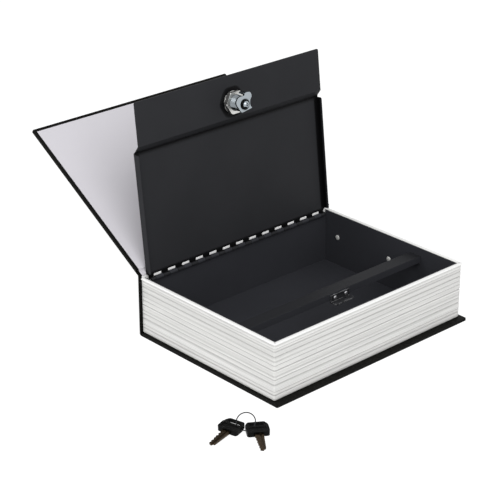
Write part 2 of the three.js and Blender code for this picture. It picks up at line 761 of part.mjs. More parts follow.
const cover = new THREE.Group();
cover.position.set(foldX, 0, foldZ);
cover.rotation.y = -foldOpen * degree;
cover.add(
  piece('cover_fold', coverFold(), skinFinish),
  piece('fold_lining', foldLining(), paperFinish),
);
const front = new THREE.Group();
front.position.x = boardHingeX;
front.add(
  piece('front_board', frontBoard(), skinFinish),
  piece('front_lining', frontLining(), paperFinish),
);
cover.add(front);
safe.add(cover);

safe.add(piece('hinge_pin', rod(pinX, pinZ, pinRadius, -hingeHalf, hingeHalf), zincFinish));

const lidGroup = new THREE.Group();
lidGroup.position.set(pinX, 0, pinZ);
lidGroup.rotation.y = -lidOpen * degree;
lidGroup.add(piece('lid', lid(), paintFinish));
const lock = new THREE.Group();
lock.position.set(lockReach, 0, stripInner);
lock.add(
  piece('lock_body', lockBody(), chromeFinish),
  piece('lock_plug', lockPlug(), zincFinish),
  piece('lock_washer', lockWasher(), zincFinish),
  piece('lock_nut', lockNut(), chromeFinish),
  piece('lock_cam', lockCam(), chromeFinish),
  piece('cam_washer', camWasher(), paintFinish),
  piece('cam_screw', camScrew(), chromeFinish),
);
lidGroup.add(lock);
safe.add(lidGroup);

for (const key of keys) {
  const set = new THREE.Group();
  set.position.set(key.eye[0], key.eye[1], eyeZ);
  set.rotation.set(0, keyTilt * degree, key.heading * degree, 'ZYX');
  set.add(
    piece(`${key.name}_head`, keyHead(key.side), headFinish),
    piece(`${key.name}_blade`, keyBlade(key.side), bladeFinish),
  );
  safe.add(set);
}

// The ring's own x runs along the line between the eyes, and its y climbs up and away from the keys
const ring = piece('key_ring', keyRing(), zincFinish);
const along = new THREE.Vector3(eyeSpan.x, eyeSpan.y, 0).normalize();
const back = new THREE.Vector3(-along.y, along.x, 0);
const climb = back.clone().multiplyScalar(Math.cos(ringLean)).setZ(Math.sin(ringLean));
const facing = along.clone().cross(climb);
const middle = eyes[0].clone().add(eyes[1]).multiplyScalar(0.5);
ring.quaternion.setFromRotationMatrix(new THREE.Matrix4().makeBasis(along, climb, facing));
ring.position.set(middle.x, middle.y, eyeZ).addScaledVector(climb, ringRadius * ringSine);
safe.add(ring);

export default safe;
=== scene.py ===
"""Book diversion safe: finishes, fine detail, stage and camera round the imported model.

Lengths are in metres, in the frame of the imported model: +Z up, +X from the spine to the fore
edge, +Y from the tail of the book to its head. The cover and the lid stand open at rest.
"""

import json
import math
import random

import bmesh
import bpy
from bpy.props import FloatProperty, FloatVectorProperty, IntProperty, PointerProperty
from bpy.types import Operator, Panel, PropertyGroup
from mathutils import Matrix, Vector


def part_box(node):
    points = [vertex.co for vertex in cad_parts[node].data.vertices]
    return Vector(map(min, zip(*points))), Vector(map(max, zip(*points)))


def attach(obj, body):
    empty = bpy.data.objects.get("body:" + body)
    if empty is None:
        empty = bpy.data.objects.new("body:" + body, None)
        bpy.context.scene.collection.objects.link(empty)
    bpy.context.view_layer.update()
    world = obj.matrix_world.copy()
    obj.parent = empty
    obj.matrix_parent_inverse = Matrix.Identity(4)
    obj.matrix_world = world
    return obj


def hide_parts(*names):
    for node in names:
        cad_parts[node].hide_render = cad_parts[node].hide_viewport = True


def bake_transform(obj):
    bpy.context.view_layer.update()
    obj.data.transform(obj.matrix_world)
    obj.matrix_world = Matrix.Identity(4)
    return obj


bl_info = {
    "name": "Book Diversion Safe",
    "version": (1, 0, 0),
    "blender": (4, 5, 0),
    "location": "View3D > Sidebar > Book Safe",
    "description": "Finishes and fine detail for a hollow book with a steel cash tray",
    "category": "Add Mesh",
}

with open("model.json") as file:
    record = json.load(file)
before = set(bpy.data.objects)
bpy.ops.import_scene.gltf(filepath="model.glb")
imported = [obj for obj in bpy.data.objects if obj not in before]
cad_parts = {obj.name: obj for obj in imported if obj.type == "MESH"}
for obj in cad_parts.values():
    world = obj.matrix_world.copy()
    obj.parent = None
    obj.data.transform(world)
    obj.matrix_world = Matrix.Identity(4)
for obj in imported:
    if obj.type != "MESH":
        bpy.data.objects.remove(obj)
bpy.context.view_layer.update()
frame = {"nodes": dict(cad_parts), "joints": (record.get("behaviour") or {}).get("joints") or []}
MM = 0.001

COVER_NODES = ("back_board", "back_fold", "spine_board", "cover_fold", "front_board")
TRAY_RIVET_NODES = ("tray_rivet_1", "tray_rivet_2", "tray_rivet_3", "tray_rivet_4")
KEEPER_RIVET_NODES = ("keeper_rivet_1", "keeper_rivet_2")
HEAD_NODES = ("key_1_head", "key_2_head")
BLADE_NODES = ("key_1_blade", "key_2_blade")


# Settings that a user would change


def colour(name, description, value):
    """A colour setting, without alpha."""
    return FloatVectorProperty(
        name=name, description=description, subtype="COLOR", size=3, min=0, max=1, default=value
    )


def length(name, description, value):
    """A setting in metres, never below zero."""
    return FloatProperty(
        name=name, description=description, unit="LENGTH", min=0, precision=5, default=value
    )


class BookSafeColours(PropertyGroup):
    skin: colour("Book skin", "Grained skin round the boards", (0.0042, 0.0041, 0.0035))
    lining: colour("Lining", "Paper inside the cover", (0.68, 0.663, 0.705))
    # Painted light: the spine's lining paper, made whiter than the lining to lift the shade in the
    # lid's slots.
    hinge_strip: colour("Hinge strip", "Paper seen through the slots", (0.98, 0.98, 0.98))
    # Painted highlight: the rim is the pages' own plastic, made whiter where the light falls on its
    # top.
    rim: colour("Rim", "Raised rim on top of the moulded wall", (0.97, 0.97, 0.965))
    pages: colour("Pages", "Moulded wall that looks like page edges", (0.8, 0.797, 0.78))
    lid_paint: colour("Lid paint", "Lid, and the cam's washer", (0.0268, 0.0274, 0.0303))
    # Painted shade: darker than the lid's paint to hold down the light on the bar's top; the keeper
    # borrows it.
    bar_paint: colour("Bar paint", "Level faces of the bar, and keeper", (0.0185, 0.019, 0.0215))
    # Painted light: a lighter copy of the lid's paint that lifts the shade inside the tray and on
    # the bar's upright faces.
    tray_paint: colour("Tray paint", "Tray, and the bar's upright faces", (0.038, 0.0392, 0.0455))
    chrome: colour("Chrome", "Plated lock pieces", (0.38, 0.42, 0.45))
    nut: colour("Lock nut", "Bright nut, washer and tray rivets", (0.72, 0.72, 0.7))
    zinc: colour("Zinc", "Plated plug, hinge pin and the keeper's rivets", (0.5, 0.5, 0.52))
    ring_steel: colour("Ring steel", "Dull wire of the split ring", (0.02, 0.02, 0.022))
    key_plastic: colour("Key heads", "Moulded key heads", (0.0045, 0.0045, 0.0045))
    brass: colour("Key blades", "Dull brass of the blades", (0.055, 0.038, 0.022))


class BookSafeSizes(PropertyGroup):
    edge_softness: length("Edge softness", "Rounding of sheet and board edges", 0.00022)
    groove_depth: length("Groove depth", "Depth of the deep grooves between pages", 0.0009)
    page_wave: length("Page wave", "How far the page lines wander up and down", 0.00005)
    thread_pitch: length("Thread pitch", "Pitch of the thread on the lock barrel", 0.001)
    thread_depth: length("Thread depth", "Depth of the thread on the lock barrel", 0.0005)
    ring_wire: length("Ring wire", "Thickness of each coil of the split ring", 0.00062)
    skin_grain: length("Skin grain", "Size of one pebble of the book skin", 0.0007)
    paint_grain: length("Paint grain", "Size of one bump of the powder coat", 0.0009)
    fine_lines: IntProperty(
        name="Fine lines", description="Fine page lines between the grooves", default=60, min=0
    )


class BookSafeStage(PropertyGroup):
    azimuth: FloatProperty(
        name="Camera azimuth", description="0 looks along +Y, 90 along -X", subtype="ANGLE",
        default=math.radians(47.3166),
    )
    elevation: FloatProperty(
        name="Camera elevation", description="Above the horizon", subtype="ANGLE",
        default=math.radians(24.5577),
    )
    distance: length("Camera distance", "From the point that it looks at", 1.81822)
    lens: FloatProperty(
        name="Lens", description="Focal length in millimetres", default=124.377, min=1
    )
    aim: FloatVectorProperty(
        name="Aim", description="Point in the middle of the picture", subtype="TRANSLATION",
        size=3, default=(-0.11096, 0.0278989, 0.0402802),
    )
    floor: colour("Floor", "Colour of the floor under the object", (0.8, 0.8, 0.8))
    sky: FloatProperty(name="Sky", description="Light from all round", default=0.6, min=0)
    key_lamp: FloatProperty(
        name="Key lamp", description="Power of the lamp in front", unit="POWER", default=23
    )
    side_lamp: FloatProperty(
        name="Side lamp", description="Power of the lamp at the spine's tail end", unit="POWER",
        default=11,
    )


# Shader helpers


def place(tree, kind, inputs=None, **attributes):
    """A new shader node, with its attributes set and its inputs set or linked."""
    made = tree.nodes.new(kind)
    for name, value in attributes.items():
        setattr(made, name, value)
    for name, value in (inputs or {}).items():
        socket = made.inputs[name]
        if isinstance(value, bpy.types.NodeSocket):
            tree.links.new(value, socket)
        else:
            socket.default_value = value
    return made


def math_node(tree, operation, first, second=0.0, clamp=False):
    """The result of one operation on numbers or sockets."""
    made = place(
        tree, "ShaderNodeMath", {0: first, 1: second}, operation=operation, use_clamp=clamp
    )
    return made.outputs[0]


def blend_colour(tree, factor, first, second):
    """The first colour at factor 0, the second at 1."""
    made = place(tree, "ShaderNodeMix", {0: factor, 6: first, 7: second}, data_type="RGBA")
    return made.outputs[2]


def spread(tree, value, low, high):
    """The value from 0 to 1 spread between low and high."""
    made = place(tree, "ShaderNodeMapRange", {"Value": value, "To Min": low, "To Max": high})
    return made.outputs["Result"]


def ramp(tree, value, zero_at, one_at):
    """0 where the value is at the first limit, 1 at the second, and held beyond them."""
    made = place(
        tree, "ShaderNodeMapRange", {"Value": value, "From Min": zero_at, "From Max": one_at}
    )
    return made.outputs["Result"]


def noise(tree, where, scale, detail):
    """Cloudy noise from 0 to 1, finer with a greater scale."""
    made = place(tree, "ShaderNodeTexNoise", {"Vector": where, "Scale": scale, "Detail": detail})
    return made.outputs["Fac"]


def effect_group(name, inputs, outputs):
    """An empty shader group with float inputs (name, default) and float outputs."""
    tree = bpy.data.node_groups.new(name, "ShaderNodeTree")
    for socket, value in inputs:
        made = tree.interface.new_socket(socket, in_out="INPUT", socket_type="NodeSocketFloat")
        made.default_value = value
    for socket in outputs:
        tree.interface.new_socket(socket, in_out="OUTPUT", socket_type="NodeSocketFloat")
    return tree, tree.nodes.new("NodeGroupInput"), tree.nodes.new("NodeGroupOutput")


def shaded(rgb, factor=1.0):
    """A colour made darker or lighter, with its alpha."""
    return (*(min(1.0, c * factor) for c in rgb), 1.0)


# Effects that several finishes share

# Where the mask of rubbed edges (a painted highlight on metal) starts and is whole: likeness of
# the rounded and true normals.
FACE_LIKENESS, EDGE_LIKENESS = 0.995, 0.85
# Scale of the patches that break it up, and the noise at which they start and are whole.
PATCH_SCALE, PATCH_START, PATCH_WHOLE = 160.0, 0.4, 0.65
# Open share of the sky over a point at which the painted shade of a crevice starts and is whole.
CREVICE_SHADE_START, CREVICE_SHADE_WHOLE = 0.99, 0.93


def grain_group():
    """Pebbled or orange-peel surface: Tone wanders slowly, Height is the fine relief."""
    if "safe_surface_grain" in bpy.data.node_groups:
        return bpy.data.node_groups["safe_surface_grain"]
    tree, given, made = effect_group(
        "safe_surface_grain", (("Pebble Scale", 1400), ("Cloud Scale", 30)), ("Tone", "Height")
    )
    where = tree.nodes.new("ShaderNodeTexCoord").outputs["Object"]
    cloud = noise(tree, where, given.outputs["Cloud Scale"], 4.0)
    uneven_scale = math_node(tree, "MULTIPLY", given.outputs["Pebble Scale"], 0.5)
    uneven = noise(tree, where, uneven_scale, 2.0)
    cells = place(
        tree, "ShaderNodeTexVoronoi",
        {"Vector": where, "Scale": given.outputs["Pebble Scale"], "Randomness": 0.9},
        feature="SMOOTH_F1",
    )
    domes = math_node(tree, "SUBTRACT", 1.0, cells.outputs["Distance"])
    pebbles = math_node(tree, "MULTIPLY", domes, 0.6)
    height = math_node(tree, "MULTIPLY_ADD", uneven, 0.4)
    tree.links.new(pebbles, height.node.inputs[2])
    tree.links.new(cloud, made.inputs["Tone"])
    tree.links.new(height, made.inputs["Height"])
    return tree


def streak_group():
    """Fine lines of brushed or polished metal that run one way, with slow patches."""
    if "safe_metal_streaks" in bpy.data.node_groups:
        return bpy.data.node_groups["safe_metal_streaks"]
    tree, given, made = effect_group(
        "safe_metal_streaks", (("Line Scale", 900), ("Stretch", 12)), ("Tone", "Height")
    )
    where = tree.nodes.new("ShaderNodeTexCoord").outputs["Object"]
    squeeze = place(tree, "ShaderNodeCombineXYZ", {"X": 1.0, "Z": 1.0})
    tree.links.new(math_node(tree, "DIVIDE", 1.0, given.outputs["Stretch"]), squeeze.inputs["Y"])
    along = place(
        tree, "ShaderNodeVectorMath", {0: where, 1: squeeze.outputs[0]}, operation="MULTIPLY"
    )
    lines = noise(tree, along.outputs[0], given.outputs["Line Scale"], 3.0)
    patch_scale = math_node(tree, "MULTIPLY", given.outputs["Line Scale"], 0.2)
    patches = math_node(tree, "MULTIPLY", noise(tree, where, patch_scale, 2.0), 0.6)
    tone = math_node(tree, "MULTIPLY_ADD", lines, 0.4)
    tree.links.new(patches, tone.node.inputs[2])
    tree.links.new(tone, made.inputs["Tone"])
    tree.links.new(lines, made.inputs["Height"])
    return tree


def edge_wear_and_highlight_group():
    """Mask that is 1 on rubbed outer edges and fades, broken up by noise, into the faces.

    It is wear on skin, paint and plastic, and a painted highlight on metal.
    """
    if "safe_edge_wear_and_highlight" in bpy.data.node_groups:
        return bpy.data.node_groups["safe_edge_wear_and_highlight"]
    tree, given, made = effect_group(
        "safe_edge_wear_and_highlight", (("Radius", 0.0006), ("Amount", 0.4)), ("Mask",)
    )
    rounded = place(
        tree, "ShaderNodeBevel", {"Radius": given.outputs["Radius"]}, samples=4
    ).outputs[0]
    facing = tree.nodes.new("ShaderNodeNewGeometry").outputs["Normal"]
    same = place(
        tree, "ShaderNodeVectorMath", {0: rounded, 1: facing}, operation="DOT_PRODUCT"
    ).outputs["Value"]
    edge = ramp(tree, same, FACE_LIKENESS, EDGE_LIKENESS)
    where = tree.nodes.new("ShaderNodeTexCoord").outputs["Object"]
    broken = ramp(tree, noise(tree, where, PATCH_SCALE, 5.0), PATCH_START, PATCH_WHOLE)
    wear_and_highlight = math_node(tree, "MULTIPLY", edge, broken)
    tree.links.new(math_node(tree, "MULTIPLY", wear_and_highlight, given.outputs["Amount"]), made.inputs["Mask"])
    return tree


def painted_crevice_shade_group():
    """Painted shade: 1 deep in the corners between faces, fading where the surface is open."""
    if "safe_painted_crevice_shade" in bpy.data.node_groups:
        return bpy.data.node_groups["safe_painted_crevice_shade"]
    tree, given, made = effect_group(
        "safe_painted_crevice_shade", (("Reach", 0.002), ("Amount", 0.7)), ("Mask",)
    )
    open_share = place(
        tree, "ShaderNodeAmbientOcclusion", {"Distance": given.outputs["Reach"]},
        samples=16, only_local=False,
    ).outputs["AO"]
    shut = ramp(tree, open_share, CREVICE_SHADE_START, CREVICE_SHADE_WHOLE)
    tree.links.new(math_node(tree, "MULTIPLY", shut, given.outputs["Amount"]), made.inputs["Mask"])
    return tree


# Finishes


def finish(name, metallic=0.0, specular=0.5):
    """A plain finish: the material, its tree and its shader."""
    made = bpy.data.materials.new(name)
    made.use_nodes = True
    tree = made.node_tree
    shader = tree.nodes["Principled BSDF"]
    shader.inputs["Metallic"].default_value = metallic
    shader.inputs["Specular IOR Level"].default_value = specular
    return made, tree, shader


def place_group(tree, group, **values):
    """A shared effect with its own values, whose names have _ for each space."""
    made = place(tree, "ShaderNodeGroup", node_tree=group)
    for name, value in values.items():
        made.inputs[name.replace("_", " ")].default_value = value
    return made


def toned(tree, effect, rgb, low, high):
    """A colour that wanders between two shares of itself with an effect's tone."""
    return blend_colour(tree, effect.outputs["Tone"], shaded(rgb, low), shaded(rgb, high))


def relief(tree, shader, height, depth, strength):
    """Fine relief of that depth on the shader's normal."""
    bump = place(
        tree, "ShaderNodeBump", {"Height": height, "Distance": depth, "Strength": strength}
    )
    tree.links.new(bump.outputs["Normal"], shader.inputs["Normal"])


def skin_finish(name, rgb, sizes):
    """Black pebbled book skin, rubbed a little on its edges."""
    made, tree, shader = finish(name, specular=0.05)
    grain = place_group(
        tree, grain_group(), Pebble_Scale=1 / sizes.skin_grain, Cloud_Scale=18.0
    )
    wear_and_highlight_mask = place_group(tree, edge_wear_and_highlight_group(), Radius=0.6 * MM, Amount=0.3)
    base = toned(tree, grain, rgb, 0.75, 1.3)
    wear_and_highlight = blend_colour(tree, wear_and_highlight_mask.outputs["Mask"], base, shaded(rgb, 2.5))
    tree.links.new(wear_and_highlight, shader.inputs["Base Color"])
    tree.links.new(spread(tree, grain.outputs["Height"], 0.62, 0.42), shader.inputs["Roughness"])
    relief(tree, shader, grain.outputs["Height"], 0.12 * MM, 0.55)
    return made


def paper_finish(name, rgb):
    """Smooth white paper with a faint tooth."""
    made, tree, shader = finish(name, specular=0.3)
    grain = place_group(tree, grain_group(), Pebble_Scale=2600.0, Cloud_Scale=9.0)
    base = toned(tree, grain, rgb, 0.95, 1.05)
    tree.links.new(base, shader.inputs["Base Color"])
    tree.links.new(spread(tree, grain.outputs["Height"], 0.5, 0.68), shader.inputs["Roughness"])
    relief(tree, shader, grain.outputs["Height"], 0.04 * MM, 0.3)
    return made


def page_finish(name, rgb, rim_highlight_rgb):
    """White plastic in thin layers like cut paper, with painted shade in its grooves and a painted
    highlight on its rim and raised lines.
    """
    made, tree, shader = finish(name, specular=0.3)
    where = tree.nodes.new("ShaderNodeTexCoord").outputs["Object"]
    flat = place(
        tree, "ShaderNodeVectorMath", {0: where, 1: (14.0, 14.0, 900.0)}, operation="MULTIPLY"
    ).outputs[0]
    layers = noise(tree, flat, 1.0, 5.0)
    grain = place_group(tree, grain_group(), Pebble_Scale=3000.0, Cloud_Scale=14.0)
    painted_light_mark = place(tree, "ShaderNodeAttribute", attribute_name=SHADE_AND_HIGHLIGHT_MARK).outputs["Fac"]
    cloud = toned(tree, grain, rgb, 0.97, 1.05)
    base = blend_colour(tree, ramp(tree, layers, 0.34, 0.6), shaded(rgb, 0.86), cloud)
    # Painted shade in the grooves and on the inner side, and a painted highlight on the rim and
    # raised lines.
    groove_shade = math_node(tree, "MULTIPLY", painted_light_mark, 1.0, True)
    groove_shaded = blend_colour(tree, groove_shade, base, shaded(rgb, 0.58))
    rim = math_node(tree, "MULTIPLY", painted_light_mark, -1.0, True)
    tree.links.new(blend_colour(tree, rim, groove_shaded, shaded(rim_highlight_rgb)), shader.inputs["Base Color"])
    tree.links.new(spread(tree, layers, 0.36, 0.6), shader.inputs["Roughness"])
    relief(tree, shader, layers, 0.08 * MM, 0.5)
    return made


def paint_finish(name, rgb, sizes, painted_fold_shade, painted_light_side_rgb=None):
    """Powder coat with painted shade in its folds.

    If that is given, upright faces take another, lighter tone as painted light.
    """
    made, tree, shader = finish(name, specular=0.05)
    grain = place_group(
        tree, grain_group(), Pebble_Scale=1 / sizes.paint_grain, Cloud_Scale=12.0
    )
    wear_and_highlight_mask = place_group(tree, edge_wear_and_highlight_group(), Radius=0.4 * MM, Amount=0.3)
    base = toned(tree, grain, rgb, 0.8, 1.2)
    # Painted light: upright faces get the lighter paint and level faces the darker one.
    if painted_light_side_rgb is not None:
        facing = tree.nodes.new("ShaderNodeNewGeometry").outputs["Normal"]
        rise = place(tree, "ShaderNodeSeparateXYZ", {"Vector": facing}).outputs["Z"]
        side = toned(tree, grain, painted_light_side_rgb, 0.8, 1.2)
        base = blend_colour(tree, math_node(tree, "ABSOLUTE", rise), side, base)
    wear_and_highlight = blend_colour(tree, wear_and_highlight_mask.outputs["Mask"], base, shaded(rgb, 2.0))
    # Painted shade: the folds and the lid's step are darkened where shade falls in them.
    fold_shade = place_group(tree, painted_crevice_shade_group(), Reach=5.5 * MM, Amount=painted_fold_shade)
    tree.links.new(
        blend_colour(tree, fold_shade.outputs["Mask"], wear_and_highlight, shaded(rgb, 0.12)),
        shader.inputs["Base Color"],
    )
    tree.links.new(spread(tree, grain.outputs["Height"], 0.58, 0.4), shader.inputs["Roughness"])
    relief(tree, shader, grain.outputs["Height"], 0.06 * MM, 0.35)
    return made


def rubbed_paint_finish(name, paint, metal):
    """Black paint that the hook has rubbed through to bright metal along the edges."""
    made, tree, shader = finish(name, specular=0.4)
    wear_and_highlight_mask = place_group(tree, edge_wear_and_highlight_group(), Radius=0.9 * MM, Amount=1.0)
    grain = place_group(tree, grain_group(), Pebble_Scale=2200.0, Cloud_Scale=240.0)
    bare = wear_and_highlight_mask.outputs["Mask"]
    base = toned(tree, grain, paint, 0.7, 1.3)
    tree.links.new(blend_colour(tree, bare, base, shaded(metal, 1.3)), shader.inputs["Base Color"])
    tree.links.new(bare, shader.inputs["Metallic"])
    tree.links.new(spread(tree, grain.outputs["Height"], 0.36, 0.22), shader.inputs["Roughness"])
    relief(tree, shader, grain.outputs["Height"], 0.05 * MM, 0.4)
    return made


def metal_finish(
    name, rgb, roughness, line_scale, stretch, spread_by=0.1, painted_fold_shade=0.4, metallic=1.0
):
    """Plated or bare metal with fine lines.

    Its edges get a painted highlight and its crevices painted shade.
    """
    made, tree, shader = finish(name, metallic=metallic)
    streaks = place_group(tree, streak_group(), Line_Scale=line_scale, Stretch=stretch)
    wear_and_highlight_mask = place_group(tree, edge_wear_and_highlight_group(), Radius=0.4 * MM, Amount=0.8)
    crevice_shade = place_group(tree, painted_crevice_shade_group(), Reach=1.2 * MM, Amount=painted_fold_shade)
    base = toned(tree, streaks, rgb, 0.82, 1.1)
    # Painted highlight: edges are made brighter for the glints of light on them.
    wear_and_highlight = blend_colour(tree, wear_and_highlight_mask.outputs["Mask"], base, shaded(rgb, 2.2))
    # Painted shade in the crevices.
    tree.links.new(
        blend_colour(tree, crevice_shade.outputs["Mask"], wear_and_highlight, shaded(rgb, 0.06)),
        shader.inputs["Base Color"],
    )
    tree.links.new(
        spread(tree, streaks.outputs["Tone"], roughness - spread_by, roughness + spread_by),
        shader.inputs["Roughness"],
    )
    relief(tree, shader, streaks.outputs["Height"], 0.01 * MM, 0.4)
    return made


def key_head_finish(name, rgb):
    """Moulded black plastic, dull on its handled edges."""
    made, tree, shader = finish(name, specular=0.05)
    grain = place_group(tree, grain_group(), Pebble_Scale=3600.0, Cloud_Scale=120.0)
    wear_and_highlight_mask = place_group(tree, edge_wear_and_highlight_group(), Radius=0.5 * MM, Amount=0.6)
    base = toned(tree, grain, rgb, 0.8, 1.3)
    wear_and_highlight = blend_colour(tree, wear_and_highlight_mask.outputs["Mask"], base, shaded(rgb, 5.0))
    tree.links.new(wear_and_highlight, shader.inputs["Base Color"])
    tree.links.new(spread(tree, grain.outputs["Height"], 0.46, 0.3), shader.inputs["Roughness"])
    relief(tree, shader, grain.outputs["Height"], 0.03 * MM, 0.4)
    return made


def finishes(scene):
    """The finishes of this object by their plain names, each made once."""
    colours, sizes = scene.book_safe_colours, scene.book_safe_sizes
    builders = {
        "safe_skin": lambda name: skin_finish(name, colours.skin, sizes),
        "safe_lining": lambda name: paper_finish(name, colours.lining),
        "safe_hinge_strip": lambda name: paper_finish(name, colours.hinge_strip),
        "safe_pages": lambda name: page_finish(name, colours.pages, colours.rim),
        "safe_lid_paint": lambda name: paint_finish(
            name, colours.lid_paint, sizes, painted_fold_shade=1.0
        ),
        "safe_bar_paint": lambda name: paint_finish(
            name, colours.bar_paint, sizes, painted_fold_shade=0.0, painted_light_side_rgb=colours.tray_paint
        ),
        "safe_tray_paint": lambda name: paint_finish(
            name, colours.tray_paint, sizes, painted_fold_shade=0.0
        ),
        "safe_rubbed_paint": lambda name: rubbed_paint_finish(
            name, colours.bar_paint, colours.zinc
        ),
        "safe_chrome": lambda name: metal_finish(
            name, colours.chrome, 0.16, 700.0, 6.0, spread_by=0.08
        ),
        "safe_nut": lambda name: metal_finish(
            name, colours.nut, 0.4, 900.0, 3.0, painted_fold_shade=0.0
        ),
        "safe_zinc": lambda name: metal_finish(name, colours.zinc, 0.36, 1100.0, 3.0),
        "safe_rivets": lambda name: metal_finish(
            name, colours.nut, 0.5, 1100.0, 3.0, painted_fold_shade=0.0, metallic=0.3
        ),
        "safe_ring_steel": lambda name: metal_finish(name, colours.ring_steel, 0.3, 1600.0, 5.0),
        "safe_key_plastic": lambda name: key_head_finish(name, colours.key_plastic),
        "safe_key_brass": lambda name: metal_finish(
            name, colours.brass, 0.32, 1500.0, 9.0, spread_by=0.12
        ),
    }
    for name, build in builders.items():
        if name not in bpy.data.materials:
            build(name)
    return {name.removeprefix("safe_"): bpy.data.materials[name] for name in builders}


# Mesh helpers

WELD_REACH = 0.002 * MM
SEAM_REACH = 0.001 * MM
SHARP_ANGLE = math.radians(38)


def dress(names, material, softness, segments=2):
    """Gives CAD nodes a finish, and rounds their sharp edges with modifiers."""
    for name in names:
        node = frame["nodes"][name]
        node.data.materials.clear()
        node.data.materials.append(material)
        weld = node.modifiers.new("Weld", "WELD")
        weld.merge_threshold = WELD_REACH
        if softness > 0:
            soft = node.modifiers.new("Soft edges", "BEVEL")
            soft.width = softness
            soft.segments = segments
            soft.limit_method = "ANGLE"
            soft.angle_limit = SHARP_ANGLE
            soft.harden_normals = True
            even = node.modifiers.new("Even shading", "WEIGHTED_NORMAL")
            even.keep_sharp = True


def joint_of(name):
    """What the frame says of a joint."""
    return next(j for j in frame["joints"] if j["name"] == name)


def add_piece(name, shape, material, body, replaces=()):
    """Turns a bmesh in the frame of the model into a piece that rides on a body, if any."""
    mesh = bpy.data.meshes.new(name)
    bmesh.ops.recalc_face_normals(shape, faces=shape.faces[:])
    shape.to_mesh(mesh)
    shape.free()
    mesh.materials.append(material)
    made = bpy.data.objects.new(name, mesh)
    bpy.context.scene.collection.objects.link(made)
    if body:
        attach(made, body)
    if replaces:
        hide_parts(*replaces)
    return made


def smooth(piece, sharp_past):
    """Smooth shading that stays sharp past an angle in degrees."""
    shape = bmesh.new()
    shape.from_mesh(piece.data)
    limit = math.radians(sharp_past)
    for face in shape.faces:
        face.smooth = True
    for edge in shape.edges:
        edge.smooth = edge.calc_face_angle(math.pi) < limit
    shape.to_mesh(piece.data)
    shape.free()


def loft(shape, rings, closed_rings=True, caps=False, closed_loft=False):
    """Faces between rings of points, each ring with as many points as the next."""
    loops = [[shape.verts.new(p) for p in ring] for ring in rings]
    count = len(loops[0])
    spans = count if closed_rings else count - 1
    pairs = len(loops) if closed_loft else len(loops) - 1
    for k in range(pairs):
        low, high = loops[k], loops[(k + 1) % len(loops)]
        for i in range(spans):
            j = (i + 1) % count
            shape.faces.new((low[i], low[j], high[j], high[i]))
    if caps:
        shape.faces.new(loops[0])
        shape.faces.new(loops[-1])
    return loops


# Folds of the cover: skin that rolls over each bend, and paper that crosses both of them

PAPER = 0.3 * MM
SPINE_ROLL = 0.78 * MM
COVER_ROLL = 0.4 * MM
ROLL_SIDES = 24
# The low paper's first two lines on the spine, down from the bend.
LOW_FEET = (1.1 * MM, 0.4 * MM)
# The paper's way round the spine's bend, in degrees and millimetres from the bend.
SPINE_ARC = ((8, 1.13), (32, 1.1), (57, 1.0))
# Its way along the fold, in millimetres along the fold and out of it, first low and then high.
LOW_RUN = ((0.8, 0.84), (1.7, 0.72), (4.4, 0.72))
HIGH_RUN = (
    (3.8, 0.8), (4.4, 0.95), (4.9, 1.35), (5.25, 1.85), (5.6, 2.25), (6.2, 2.34), (7.5, 2.34)
)


def roll(name, centre, radius, half, material, body):
    """A round bead of skin along a bend, which looks the same as the bend turns."""
    shape = bmesh.new()
    turns = [math.tau * i / ROLL_SIDES for i in range(ROLL_SIDES)]
    loft(shape, [
        [(centre.x + radius * math.cos(a), y, centre.z + radius * math.sin(a)) for a in turns]
        for y in (-half, half)
    ], caps=True)
    smooth(add_piece(name, shape, material, body), sharp_past=40)


def paper_strip(name, line, half, material, replaces=()):
    """Paper along a line of (x, z) on its far side, which bends between two bodies."""
    near = []
    for i, (x, z) in enumerate(line):
        ahead, behind = line[min(i + 1, len(line) - 1)], line[max(i - 1, 0)]
        run = Vector((ahead[0] - behind[0], ahead[1] - behind[1])).normalized()
        near.append((x + run.y * PAPER, z - run.x * PAPER))
    shape = bmesh.new()
    loops = loft(shape, [
        [(x, y, z) for y in (-half, half)] for x, z in line + near[::-1]
    ], closed_rings=False, closed_loft=True)
    count = len(line)
    for side in (0, 1):
        for i in range(count - 1):
            corners = (i, i + 1, 2 * count - 2 - i, 2 * count - 1 - i)
            shape.faces.new([loops[c][side] for c in corners])
    piece = add_piece(name, shape, material, None, replaces)
    smooth(piece, sharp_past=60)
    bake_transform(piece)


def build_folds(skin, paper):
    """Skin beads in both bends, and paper from the spine over the fold to the front cover."""
    spine, cover = (Vector(joint_of(name)["pos_m"]) for name in ("spine_bend", "cover_bend"))
    along = (cover - spine).normalized()
    inward = Vector((along.z, 0, -along.x))
    skin_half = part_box("front_board")[1][1]
    paper_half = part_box("front_lining")[1][1]
    roll("spine_roll", spine, SPINE_ROLL, skin_half, skin, "book")
    roll("cover_roll", cover, COVER_ROLL, skin_half, skin, "fold")

    def at(reach, rise):
        point = spine + (along * reach + inward * rise) * MM
        return point.x, point.z

    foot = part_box("spine_lining")[0][0]
    low_line = [(foot, spine.z - drop) for drop in LOW_FEET]
    for turn, radius in SPINE_ARC:
        angle = math.radians(turn)
        low_line.append((
            spine.x + radius * MM * math.cos(angle), spine.z + radius * MM * math.sin(angle)
        ))
    low_line += [at(reach, rise) for reach, rise in LOW_RUN]
    paper_strip(
        "low_fold_paper", low_line, paper_half, paper,
        ("fold_lining",),
    )
    paper_strip(
        "high_fold_paper", [at(reach, rise) for reach, rise in HIGH_RUN], paper_half, paper,
    )


# Pages: a white wall on three sides, grooved like the edges of bound pages

# Painted light on each corner of the wall: painted shade up to 1 in a groove, and -1 for a
# painted highlight on the rim and raised lines.
SHADE_AND_HIGHLIGHT_MARK = "groove_depth"
SHADE_MARK_POWER = 0.6
